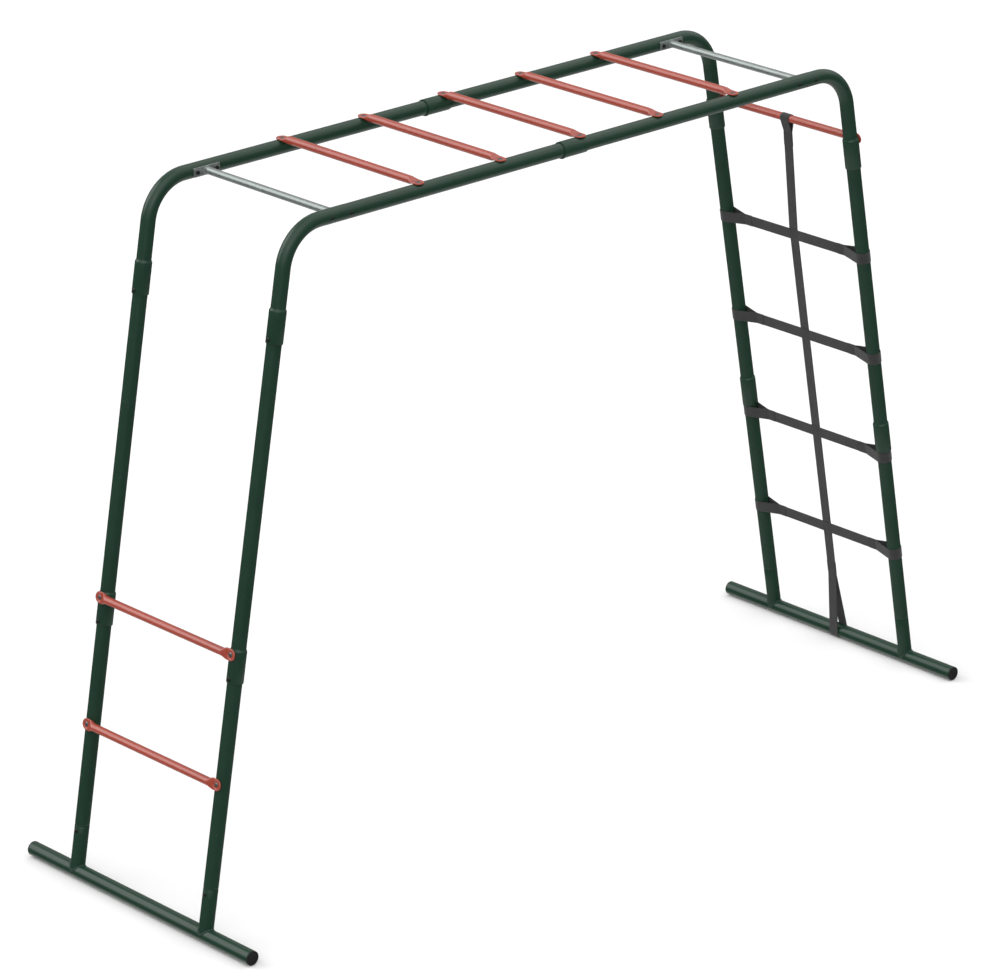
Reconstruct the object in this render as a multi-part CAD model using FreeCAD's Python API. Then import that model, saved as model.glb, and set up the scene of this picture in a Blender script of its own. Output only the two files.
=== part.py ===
import FreeCAD, Part
import math
import os

V = FreeCAD.Vector

# Freestanding monkey bars: two bent-tube side frames on ground tubes, five
# overhead rungs, a two-rung ladder end and a webbing cargo-net end.
# Millimetres, +Z up, origin on the ground at the middle of the footprint.
# +X runs towards the net end, +Y towards the left side frame.

# ---- driving dimensions -------------------------------------------------
TUBE_D = 42.0          # frame tube, outside
TUBE_T = 2.0           # frame tube wall
SLEEVE_D = 48.0        # expanded tube end, outside
SLEEVE_L = 97.0        # expanded end including its shoulder
SHOULDER_L = 8.0       # taper from tube to expanded end
INSERT_L = 90.0        # length of tube inside an expanded end

GROUND_Z = 22.9        # axis of the ground tubes: the net tube stands on its webbing loop
RAIL_Z = 1950.0 + GROUND_Z   # axis of the top rails
RAIL_Y = 280.0         # half the distance between the two side frames
CORNER_X = 1065.0      # where rail and leg axes would meet
SPLAY = 10.0           # legs lean outwards, degrees from upright
BEND_R = 130.0         # corner bend, to the tube axis

RAIL_JOINT_X = -74.0   # open mouth of the expanded rail end
UPPER_JOINT = 313.0    # open mouth of the upper leg joint, down the leg
LOWER_JOINT = 1256.0   # open mouth of the lower leg joint, down the leg
STUB_TOP = 1845.0      # top of the welded stub, down the leg
SPIGOT_D = 37.6        # reduced foot of the lower leg, inside the stub
SPIGOT_L = 55.0
NECK_L = 3.6           # taper above the stub, down to the stub's bore
SCREW_IN = 10.0        # joint screw, from the mouth of its sleeve
FOOT_SCREW = 16.0      # foot screw, down from the top of the stub

GROUND_L = 952.0       # ground tube without its end caps
CAP_D = 41.6
CAP_T = 4.0

RUNG_D = 23.5          # rung tube, outside
RUNG_T = 1.5
RUNG_AXIS = 3.0        # rung axis above the surface that it is screwed to
PADDLE_W = 34.0        # flattened rung end
PADDLE_T = 5.0
DISH_R = 12.5          # recess pressed into each rung end round its screw
DISH_FLOOR = 3.0
RUNG_BODY = 248.0      # round part ends here, from the middle of the rung
PADDLE_AT = 266.0      # flattening is complete here
RUNG_PITCH = 302.0
RUNG_MID = 3.3         # middle overhead rung, from the middle of the frame
RUNG_X = [RUNG_MID + RUNG_PITCH * k for k in (-2, -1, 0, 1, 2)]
LADDER_AT = [1176.0, 1545.5]   # ladder rungs, down the leg
NET_BAR_AT = 230.0             # net top bar, down the leg

BRACE_X = {-1: -892.5, 1: 896.5}
BRACE_D = 21.4
BRACE_T = 1.5
PLATE_L = 92.0
PLATE_H = 26.0
PLATE_T = 4.0
PLATE_HOLES = 34.0     # half the hole spacing in a brace plate

STRAP_W = 35.0         # webbing
STRAP_T = 1.8
STRAP_GAP = 0.1        # webbing to the tube that it goes round
STRAP_AT = [604.0, 939.5, 1274.5, 1611.0]   # cross straps, down the leg
CROSS_LOOP = 75.0      # leg axis to the point of a cross strap's loop
CROSS_SEWN = 103.0     # leg axis to the end of the sewn overlap
NET_Y = 3.0            # the upright strap sits just off the middle
TOP_LOOP = 42.0
TOP_SEWN = 88.0
FOOT_LOOP = 200.0
FOOT_SEWN = 245.0

SCREW_R = 4.0          # low-headed M8 screws into one side of a tube
SCREW_L = 12.0
HOLE_R = 4.3
HEAD_R = 7.0
HEAD_H = 2.8
BOLT_R = 3.0           # M6 bolts right through the rails and brace plates
BOLT_HOLE_R = 3.2
BOLT_HEAD_R = 6.0
BOLT_HEAD_H = 3.3
NUT_AF = 10.0
NUT_H = 5.0

# ---- derived -----------------------------------------------------------
A = math.radians(SPLAY)
SA, CA = math.sin(A), math.cos(A)
R = TUBE_D / 2.0
SR = SLEEVE_D / 2.0
TURN = math.radians(90.0 - SPLAY)
TANGENT = BEND_R * math.tan(TURN / 2.0)
GROUND_AT = (RAIL_Z - GROUND_Z) / CA   # ground tube axis, down the leg
GROUND_X = CORNER_X + GROUND_AT * SA


def down(sx, sy, d, off=0.0):
    """Point on a leg, d down from the corner, off outwards from its axis."""
    return V(sx * (CORNER_X + d * SA + off * CA), sy * RAIL_Y,
             RAIL_Z - d * CA + off * SA)


def leg_dir(sx):
    return V(sx * SA, 0, -CA)


def out_dir(sx):
    return V(sx * CA, 0, SA)


def rod(p, q, r):
    d = q.sub(p)
    return Part.makeCylinder(r, d.Length, p, d)


def pipe(p, q, ro, ri):
    return rod(p, q, ro).cut(rod(p, q, ri))


def cone(p, q, r1, r2):
    d = q.sub(p)
    return Part.makeCone(r1, r2, d.Length, p, d)


def mix(p, q, t):
    return p.add(q.sub(p).multiply(t))


def frame(shape, origin, x, y):
    """Place a shape drawn in local axes at origin, local X along x, Y along y."""
    z = x.cross(y)
    m = FreeCAD.Matrix(x.x, y.x, z.x, origin.x,
                       x.y, y.y, z.y, origin.y,
                       x.z, y.z, z.z, origin.z,
                       0, 0, 0, 1)
    out = shape.copy()
    out.transformShape(m, True)
    return out


def swaged(p, q):
    """Expanded tube end: shoulder at p, open mouth at q."""
    n = q.sub(p)
    n.normalize()
    s = p.add(n * SHOULDER_L)
    outer = cone(p, s, R, SR).fuse(rod(s, q, SR))
    inner = cone(p, s, R - TUBE_T, SR - TUBE_T).fuse(rod(s, q, SR - TUBE_T))
    return outer.cut(inner)


def drill(shape, p, axis, r, length=60.0):
    """Hole through both walls."""
    a = V(axis)
    a.normalize()
    return shape.cut(rod(p.sub(a * length), p.add(a * length), r))


def tap(shape, p, axis, r=HOLE_R, length=60.0):
    """Hole through the wall on the +axis side of p only."""
    a = V(axis)
    a.normalize()
    return shape.cut(rod(p, p.add(a * length), r))


def one(shape):
    s = shape.removeSplitter()
    assert len(s.Solids) == 1, len(s.Solids)
    assert s.Solids[0].isValid()
    return s.Solids[0]


# ---- corner tubes: half a rail, the bend and the top of a leg ------------
def corner_tube(sx, sy):
    y = sy * RAIL_Y
    corner = V(sx * CORNER_X, y, RAIL_Z)
    a = V(sx * (CORNER_X - TANGENT), y, RAIL_Z)
    b = down(sx, sy, TANGENT)
    to_leg, to_rail = leg_dir(sx), V(-sx, 0, 0)
    bis = to_leg.add(to_rail)
    bis.normalize()
    centre = corner.add(bis * (BEND_R / math.cos(TURN / 2.0)))
    mid = centre.sub(bis * BEND_R)
    arc = Part.Wire([Part.Arc(a, mid, b).toShape()])

    def bend(r):
        prof = Part.Wire([Part.makeCircle(r, a, V(1, 0, 0))])
        return arc.makePipeShell([prof], True, False)

    mouth = down(sx, sy, UPPER_JOINT)
    shoulder = down(sx, sy, UPPER_JOINT - SLEEVE_L)
    if sx > 0:
        rail_end = V(RAIL_JOINT_X + SLEEVE_L, y, RAIL_Z)
    else:
        rail_end = V(RAIL_JOINT_X + INSERT_L, y, RAIL_Z)
    outer = bend(R).fuse([rod(a, rail_end, R), rod(b, shoulder, R)])
    inner = bend(R - TUBE_T).fuse([rod(a, rail_end, R - TUBE_T),
                                   rod(b, shoulder, R - TUBE_T)])
    body = outer.cut(inner).fuse(swaged(shoulder, mouth))
    if sx > 0:
        body = body.fuse(swaged(rail_end, V(RAIL_JOINT_X, y, RAIL_Z)))
    up = V(0, 0, 1)
    for x in RUNG_X:
        if (sx > 0 and x > RAIL_JOINT_X) or (sx < 0 and x < RAIL_JOINT_X + INSERT_L):
            body = tap(body, V(x, y, RAIL_Z), up)
    body = tap(body, V(RAIL_JOINT_X + SCREW_IN, y, RAIL_Z), up * -1)
    for dx in (-PLATE_HOLES, PLATE_HOLES):
        body = drill(body, V(BRACE_X[sx] + dx, y, RAIL_Z), V(0, 1, 0), BOLT_HOLE_R)
    body = tap(body, down(sx, sy, UPPER_JOINT - SCREW_IN), out_dir(sx))
    if sx > 0:
        body = tap(body, down(sx, sy, NET_BAR_AT), out_dir(sx))
    return one(body)


# ---- legs ----------------------------------------------------------------
def upper_leg(sx, sy):
    top = down(sx, sy, UPPER_JOINT - INSERT_L)
    shoulder = down(sx, sy, LOWER_JOINT - SLEEVE_L)
    mouth = down(sx, sy, LOWER_JOINT)
    body = pipe(top, shoulder, R, R - TUBE_T).fuse(swaged(shoulder, mouth))
    body = tap(body, down(sx, sy, UPPER_JOINT - SCREW_IN), out_dir(sx))
    if sx > 0:
        body = tap(body, down(sx, sy, NET_BAR_AT), out_dir(sx))
    body = tap(body, down(sx, sy, LOWER_JOINT - SCREW_IN), out_dir(sx))
    if sx < 0:
        body = tap(body, down(sx, sy, LADDER_AT[0]), out_dir(sx))
    return one(body)


def lower_leg(sx, sy):
    top = down(sx, sy, LOWER_JOINT - INSERT_L)
    foot = down(sx, sy, STUB_TOP + SPIGOT_L)
    sr = SPIGOT_D / 2.0
    neck = STUB_TOP - NECK_L
    # the taper just meets the edge of the stub's bore, R - TUBE_T
    slope = (TUBE_T + 0.01) / NECK_L
    end = down(sx, sy, neck + (R - sr) / slope)
    start = down(sx, sy, neck)
    outer = rod(top, start, R).fuse([cone(start, end, R, sr), rod(end, foot, sr)])
    above = down(sx, sy, neck - 2)
    bore = rod(top, above, R - TUBE_T).fuse([
        cone(above, end, R - TUBE_T, sr - TUBE_T), rod(end, foot, sr - TUBE_T)])
    body = outer.cut(bore)
    body = tap(body, down(sx, sy, LOWER_JOINT - SCREW_IN), out_dir(sx))
    if sx < 0:
        for d in LADDER_AT:
            body = tap(body, down(sx, sy, d), out_dir(sx))
    body = tap(body, down(sx, sy, STUB_TOP + FOOT_SCREW), out_dir(sx))
    return one(body)


def ground_tube(sx):
    h = GROUND_L / 2.0
    p, q = V(sx * GROUND_X, -h, GROUND_Z), V(sx * GROUND_X, h, GROUND_Z)
    full = rod(p, q, R)
    body = full.cut(rod(p, q, R - TUBE_T))
    for sy in (-1, 1):
        a, b = down(sx, sy, STUB_TOP), down(sx, sy, GROUND_AT)
        stub = pipe(a, b, R, R - TUBE_T).cut(full)
        keep = sorted(stub.Solids, key=lambda s: s.Volume)[-1]
        body = body.fuse(keep)
        ring = rod(a, b, R + 3).cut(full).cut(rod(a, b, R - TUBE_T)).common(
            Part.makeSphere(R + 9.0, b))
        ring = sorted(ring.Solids, key=lambda s: s.Volume)[-1]
        body = body.fuse(ring)
        body = tap(body, down(sx, sy, STUB_TOP + FOOT_SCREW), out_dir(sx))
    return one(body)


def end_cap(sx, sy):
    h = GROUND_L / 2.0
    face = V(sx * GROUND_X, sy * h, GROUND_Z)
    n = V(0, sy, 0)
    flange = rod(face, face.add(n * (CAP_T - 1.2)), CAP_D / 2.0)
    crown = cone(face.add(n * (CAP_T - 1.2)), face.add(n * CAP_T),
                 CAP_D / 2.0, CAP_D / 2.0 - 2.4)
    plug = rod(face.sub(n * 22), face, R - TUBE_T - 0.1).cut(
        rod(face.sub(n * 22), face.sub(n * 2), R - TUBE_T - 2.6))
    return one(flange.fuse([crown, plug]))


# ---- rungs: round tube with both ends pressed flat on the mounting side ----
def section(y, half_w, z0, z1):
    """Closed four-edge section across Y: flat bottom and top, round sides."""
    b = (z1 - z0) / 2.0
    f = max(half_w - b, 0.0) if half_w > b + 1e-6 else 0.0
    zc = (z0 + z1) / 2.0
    if f < 1e-6:
        r = b
        k = r * math.sin(math.radians(45))
        pts = [V(-k, y, zc - k), V(k, y, zc - k), V(k, y, zc + k), V(-k, y, zc + k)]
        mids = [V(0, y, zc - r), V(r, y, zc), V(0, y, zc + r), V(-r, y, zc)]
    else:
        k = b * math.sin(math.radians(45))
        pts = [V(-f - k * 0.0, y, z0), V(f, y, z0), V(f, y, z1), V(-f, y, z1)]
        mids = [V(0, y, z0), V(f + b, y, zc), V(0, y, z1), V(-f - b, y, zc)]
    edges = []
    for i in range(4):
        p, q, m = pts[i], pts[(i + 1) % 4], mids[i]
        if f > 0 and i in (0, 2):
            edges.append(Part.LineSegment(p, q).toShape())
        else:
            edges.append(Part.Arc(p, m, q).toShape())
    return Part.Wire(edges)


def rung():
    """Local axes: Y along the rung, Z away from the tube it is screwed to, z=0 on it."""
    r = RUNG_D / 2.0
    ri = r - RUNG_T
    h = RUNG_AXIS
    mid = pipe(V(0, -RUNG_BODY, h), V(0, RUNG_BODY, h), r, ri)
    parts = []
    for s in (-1, 1):
        outer = Part.makeLoft([section(s * RUNG_BODY, r, h - r, h + r),
                               section(s * PADDLE_AT, PADDLE_W / 2.0, 0, PADDLE_T)],
                              True, True)
        inner = Part.makeLoft([section(s * RUNG_BODY, ri, h - ri, h + ri),
                               section(s * (PADDLE_AT - 2.0), PADDLE_W / 2.0 - 4.0,
                                       PADDLE_T / 2.0 - 0.6, PADDLE_T / 2.0 + 0.6)],
                              True, True)
        parts.append(outer.cut(inner))
        plate = Part.makeBox(PADDLE_W, RAIL_Y - PADDLE_AT, PADDLE_T,
                             V(-PADDLE_W / 2.0, PADDLE_AT if s > 0 else -RAIL_Y, 0))
        tip = Part.makeCylinder(PADDLE_W / 2.0, PADDLE_T, V(0, s * RAIL_Y, 0))
        parts.append(plate.fuse(tip))
    body = mid.fuse(parts)
    for s in (-1, 1):
        body = body.cut(Part.makeCone(DISH_R - (PADDLE_T - DISH_FLOOR), DISH_R,
                                      PADDLE_T - DISH_FLOOR, V(0, s * RAIL_Y, DISH_FLOOR)))
        body = drill(body, V(0, s * RAIL_Y, 0), V(0, 0, 1), HOLE_R)
    return one(body)


RUNG = rung()


def rung_seat(x):
    sleeve = RAIL_JOINT_X <= x <= RAIL_JOINT_X + SLEEVE_L - SHOULDER_L
    return SR if sleeve else R


def overhead_rung(x):
    return frame(RUNG, V(x, 0, RAIL_Z + rung_seat(x)), V(1, 0, 0), V(0, 1, 0))


def leg_rung(sx, d, off):
    o = down(sx, 0, d, off)
    n = out_dir(sx)
    return frame(RUNG, o, V(0, 1, 0).cross(n), V(0, 1, 0))


# ---- braces ---------------------------------------------------------------
def brace(sx):
    y1 = RAIL_Y - R
    x = BRACE_X[sx]
    body = pipe(V(x, -(y1 - PLATE_T), RAIL_Z), V(x, y1 - PLATE_T, RAIL_Z),
                BRACE_D / 2.0, BRACE_D / 2.0 - BRACE_T)
    for sy in (-1, 1):
        plate = Part.makeBox(PLATE_L, PLATE_T, PLATE_H,
                             V(x - PLATE_L / 2.0, y1 - PLATE_T if sy > 0 else -y1,
                               RAIL_Z - PLATE_H / 2.0))
        plate = plate.makeFillet(2.5, [e for e in plate.Edges
                                       if abs(e.tangentAt(e.FirstParameter).y) > 0.9])
        for dx in (-PLATE_HOLES, PLATE_HOLES):
            plate = drill(plate, V(x + dx, sy * y1, RAIL_Z), V(0, 1, 0), BOLT_HOLE_R)
        weld = Part.makeCone(BRACE_D / 2.0 + 3.0, BRACE_D / 2.0, 3.0,
                             V(x, sy * (y1 - PLATE_T), RAIL_Z), V(0, -sy, 0))
        weld = weld.cut(rod(V(x, sy * (y1 - PLATE_T), RAIL_Z),
                            V(x, sy * (y1 - PLATE_T - 5), RAIL_Z),
                            BRACE_D / 2.0 - BRACE_T))
        body = body.fuse([plate, weld])
    return one(body)


# ---- webbing ----------------------------------------------------------------
def teardrop(c, a, r):
    """Face: circle r about c drawn out to a point at a."""
    ax = a.sub(c)
    length = ax.Length
    ax.normalize()
    side = V(-ax.y, ax.x, 0)
    k = r / length
    h = math.sqrt(1 - k * k)
    p = c.add(ax * (r * k)).add(side * (r * h))
    q = c.add(ax * (r * k)).sub(side * (r * h))
    far = c.sub(ax * r)
    w = Part.Wire([Part.LineSegment(a, p).toShape(), Part.Arc(p, far, q).toShape(),
                   Part.LineSegment(q, a).toShape()])
    return Part.Face(w)


def loop(c, a, r):
    """Webbing band round a tube of radius r at c, closing at a."""
    ri = r + STRAP_GAP
    ro = ri + STRAP_T
    ax = a.sub(c)
    return teardrop(c, c.add(ax * (ro / ri)), ro).cut(teardrop(c, a, ri))


def band(p, q, t):
    d = q.sub(p)
    d.normalize()
    n = V(-d.y, d.x, 0) * (t / 2.0)
    return Part.Face(Part.makePolygon([p.add(n), q.add(n), q.sub(n), p.sub(n), p.add(n)]))


def strap_solid(faces, width):
    solids = [f.extrude(V(0, 0, width)) for f in faces]
    body = solids[0].fuse(solids[1:])
    body.translate(V(0, 0, -width / 2.0))
    return one(body)


def cross_strap(d):
    faces = [band(V(-(RAIL_Y - CROSS_LOOP), 0, 0), V(RAIL_Y - CROSS_LOOP, 0, 0), STRAP_T)]
    for s in (-1, 1):
        c = V(s * RAIL_Y, 0, 0)
        a = V(s * (RAIL_Y - CROSS_LOOP), 0, 0)
        faces.append(loop(c, a, R))
        faces.append(band(V(s * (RAIL_Y - CROSS_LOOP + 2), 0, 0),
                          V(s * (RAIL_Y - CROSS_SEWN), 0, 0), 2 * STRAP_T))
    local = strap_solid(faces, STRAP_W)
    return frame(local, down(1, 0, d), V(0, 1, 0), out_dir(1))


def upright_strap():
    off = STRAP_T + 0.1
    bar = V(NET_BAR_AT, SR + RUNG_AXIS, 0)
    tube = V(GROUND_AT, 0, 0)
    first = V(STRAP_AT[0] - STRAP_W / 2.0 - 4, off, 0)
    last = V(STRAP_AT[-1] + STRAP_W / 2.0 + 4, off, 0)
    u = first.sub(bar)
    u.normalize()
    w = last.sub(tube)
    w.normalize()
    top = bar.add(u * TOP_LOOP)
    foot = tube.add(w * FOOT_LOOP)
    faces = [band(top, first, STRAP_T), band(first, last, STRAP_T),
             band(last, foot, STRAP_T),
             loop(bar, top, RUNG_D / 2.0), loop(tube, foot, R),
             band(top.sub(u * 2), bar.add(u * TOP_SEWN), 2 * STRAP_T),
             band(foot.sub(w * 4), tube.add(w * FOOT_SEWN), 2 * STRAP_T)]
    for p in (first, last):
        faces.append(Part.Face(Part.Wire([Part.makeCircle(STRAP_T / 2.0, p)])))
    local = strap_solid(faces, STRAP_W)
    o = V(CORNER_X, NET_Y, RAIL_Z)
    return frame(local, o, leg_dir(1), out_dir(1))


# ---- fasteners ---------------------------------------------------------------
def screw(p, axis, shank=SCREW_L, r=SCREW_R, head_r=HEAD_R, head_h=HEAD_H):
    """Domed head standing on p, shank running back along -axis."""
    a = V(axis)
    a.normalize()
    dome_r = (head_r ** 2 + head_h ** 2) / (2.0 * head_h)
    dome = Part.makeSphere(dome_r, p.add(a * (head_h - dome_r))).common(
        rod(p, p.add(a * (head_h + 1)), head_r + 1))
    return one(dome.fuse(rod(p.sub(a * shank), p.add(a * 0.5), r)))


def nut(p, axis):
    """Hexagon nut with its bearing face at p, standing out along axis."""
    a = V(axis)
    a.normalize()
    s = V(0, 1, 0) if abs(a.y) < 0.9 else V(0, 0, 1)
    s = s.sub(a * s.dot(a))
    s.normalize()
    t = a.cross(s)
    c = NUT_AF / math.sqrt(3.0)
    pts = [p.add(s * (c * math.cos(math.radians(60 * i)))).add(
        t * (c * math.sin(math.radians(60 * i)))) for i in range(7)]
    body = Part.Face(Part.makePolygon(pts)).extrude(a * NUT_H)
    tip = Part.makeCone(c + 2.6, c - 0.9, NUT_H, p, a)
    body = body.common(tip)
    return one(body.cut(rod(p.sub(a), p.add(a * (NUT_H + 1)), BOLT_R + 0.02)))


def group(solids):
    return Part.makeCompound(solids)


def fasteners():
    out = {}
    up = V(0, 0, 1)
    sides = (-1, 1)
    out["overhead_rung_screws"] = group([
        screw(V(x, sy * RAIL_Y, RAIL_Z + rung_seat(x) + DISH_FLOOR), up)
        for x in RUNG_X for sy in sides])
    out["rail_joint_screws"] = group([
        screw(V(RAIL_JOINT_X + SCREW_IN, sy * RAIL_Y, RAIL_Z - SR), up * -1)
        for sy in sides])
    out["leg_joint_screws"] = group([
        screw(down(sx, sy, d - SCREW_IN, SR), out_dir(sx))
        for sx in sides for sy in sides for d in (UPPER_JOINT, LOWER_JOINT)])
    out["ladder_rung_screws"] = group([
        screw(down(-1, sy, d, s + DISH_FLOOR), out_dir(-1))
        for d, s in ((LADDER_AT[0], SR), (LADDER_AT[1], R)) for sy in sides])
    out["net_bar_screws"] = group([
        screw(down(1, sy, NET_BAR_AT, SR + DISH_FLOOR), out_dir(1)) for sy in sides])
    out["foot_screws"] = group([
        screw(down(sx, sy, STUB_TOP + FOOT_SCREW, R), out_dir(sx))
        for sx in sides for sy in sides])
    b, n = [], []
    for sx in sides:
        for sy in sides:
            for dx in (-PLATE_HOLES, PLATE_HOLES):
                p = V(BRACE_X[sx] + dx, sy * (RAIL_Y + R), RAIL_Z)
                b.append(screw(p, V(0, sy, 0), 2 * R + PLATE_T + 6.5, BOLT_R,
                               BOLT_HEAD_R, BOLT_HEAD_H))
                q = V(BRACE_X[sx] + dx, sy * (RAIL_Y - R - PLATE_T), RAIL_Z)
                n.append(nut(q, V(0, -sy, 0)))
    out["brace_bolts"], out["brace_nuts"] = group(b), group(n)
    return out


# ---- assembly -----------------------------------------------------------------
nodes = {}
for sx, end in ((-1, "ladder"), (1, "net")):
    nodes[end + "_ground_tube"] = ground_tube(sx)
    nodes[end + "_end_brace"] = brace(sx)
    for sy, side in ((-1, "right"), (1, "left")):
        tag = end + "_" + side
        nodes[tag + "_corner_tube"] = corner_tube(sx, sy)
        nodes[tag + "_upper_leg"] = upper_leg(sx, sy)
        nodes[tag + "_lower_leg"] = lower_leg(sx, sy)
        nodes[tag + "_end_cap"] = end_cap(sx, sy)
for i, x in enumerate(RUNG_X):
    nodes["overhead_rung_%d" % (i + 1)] = overhead_rung(x)
nodes["ladder_rung_upper"] = leg_rung(-1, LADDER_AT[0], SR)
nodes["ladder_rung_lower"] = leg_rung(-1, LADDER_AT[1], R)
nodes["net_top_bar"] = leg_rung(1, NET_BAR_AT, SR)
nodes["net_upright_strap"] = upright_strap()
for i, d in enumerate(STRAP_AT):
    nodes["net_cross_strap_%d" % (i + 1)] = cross_strap(d)
nodes.update(fasteners())

os.makedirs("parts", exist_ok=True)
box = FreeCAD.BoundBox()
for name, shape in nodes.items():
    shape.exportStep("parts/%s.step" % name)
    box.add(shape.BoundBox)
    print("%-26s solids %2d  volume %10.0f mm3  valid %s" % (
        name, len(shape.Solids), shape.Volume, shape.isValid()))
print(len(nodes), "nodes; box", [round(v, 1) for v in (
    box.XMin, box.XMax, box.YMin, box.YMax, box.ZMin, box.ZMax)])
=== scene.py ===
import bmesh
import bpy
import math
from mathutils import Matrix, Vector


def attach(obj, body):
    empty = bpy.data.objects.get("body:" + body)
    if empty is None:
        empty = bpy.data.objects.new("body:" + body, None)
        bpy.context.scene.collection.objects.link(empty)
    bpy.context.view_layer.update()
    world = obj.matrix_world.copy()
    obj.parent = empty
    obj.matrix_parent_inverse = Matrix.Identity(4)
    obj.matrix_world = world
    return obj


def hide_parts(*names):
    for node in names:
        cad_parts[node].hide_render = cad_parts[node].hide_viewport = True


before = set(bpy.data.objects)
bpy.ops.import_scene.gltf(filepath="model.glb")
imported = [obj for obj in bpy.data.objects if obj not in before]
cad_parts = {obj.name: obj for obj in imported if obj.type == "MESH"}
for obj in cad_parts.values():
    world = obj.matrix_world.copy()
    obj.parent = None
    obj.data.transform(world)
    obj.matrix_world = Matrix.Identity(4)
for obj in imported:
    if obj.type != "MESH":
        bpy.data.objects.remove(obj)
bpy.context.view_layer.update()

# ---------------------------------------------------------------- dimensions
MM = 0.001
TUBE_R, TUBE_T = 21.0 * MM, 2.0 * MM
SLEEVE_R, SLEEVE_L, SHOULDER_L, INSERT_L = 24.0 * MM, 97 * MM, 8 * MM, 90 * MM
GROUND_Z = 22.9 * MM
RAIL_Z, RAIL_Y, CORNER_X = 1.950 + GROUND_Z, 0.280, 1.065
SPLAY, BEND_R = math.radians(10.0), 0.130
SA, CA = math.sin(SPLAY), math.cos(SPLAY)
TURN = math.radians(80.0)
TANGENT = BEND_R * math.tan(TURN / 2)
RAIL_JOINT_X, UPPER_JOINT, LOWER_JOINT, STUB_TOP = -0.074, 0.313, 1.256, 1.845
SPIGOT_R, SPIGOT_L, NECK_L = 18.8 * MM, 55 * MM, 3.6 * MM
SCREW_IN, FOOT_SCREW = 10 * MM, 16 * MM
GROUND_L, CAP_R, CAP_T = 0.952, 20.8 * MM, 4 * MM
RUNG_R, RUNG_T, RUNG_AXIS, PADDLE_W, PADDLE_T = 11.75 * MM, 1.5 * MM, 3 * MM, 34 * MM, 5 * MM
DISH_R, DISH_FLOOR, HOLE_R = 12.5 * MM, 3 * MM, 4.3 * MM
RUNG_BODY, PADDLE_AT = 0.248, 0.266
RUNG_X = [0.0033 + 0.302 * k for k in (-2, -1, 0, 1, 2)]
LADDER_AT, NET_BAR_AT = [1.176, 1.5455], 0.230
BRACE_X = {-1: -0.8925, 1: 0.8965}
BRACE_R, PLATE_L, PLATE_H, PLATE_T, PLATE_HOLES = 10.7 * MM, 92 * MM, 26 * MM, 4 * MM, 34 * MM
STRAP_W, STRAP_T, STRAP_GAP = 35 * MM, 1.8 * MM, 0.1 * MM
STRAP_AT = [0.604, 0.9395, 1.2745, 1.611]
CROSS_LOOP, CROSS_SEWN, NET_Y = 0.075, 0.103, 0.003
TOP_LOOP, TOP_SEWN, FOOT_LOOP, FOOT_SEWN = 0.042, 0.088, 0.200, 0.245
GROUND_AT = (RAIL_Z - GROUND_Z) / CA
GROUND_X = CORNER_X + GROUND_AT * SA
Y = Vector((0, 1, 0))


def down(sx, sy, d, off=0.0):
    return Vector((sx * (CORNER_X + d * SA + off * CA), sy * RAIL_Y, RAIL_Z - d * CA + off * SA))


def leg_dir(sx):
    return Vector((sx * SA, 0, -CA))


def out_dir(sx):
    return Vector((sx * CA, 0, SA))


def smooth(t):
    t = min(max(t, 0.0), 1.0)
    return t * t * (3 - 2 * t)


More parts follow.
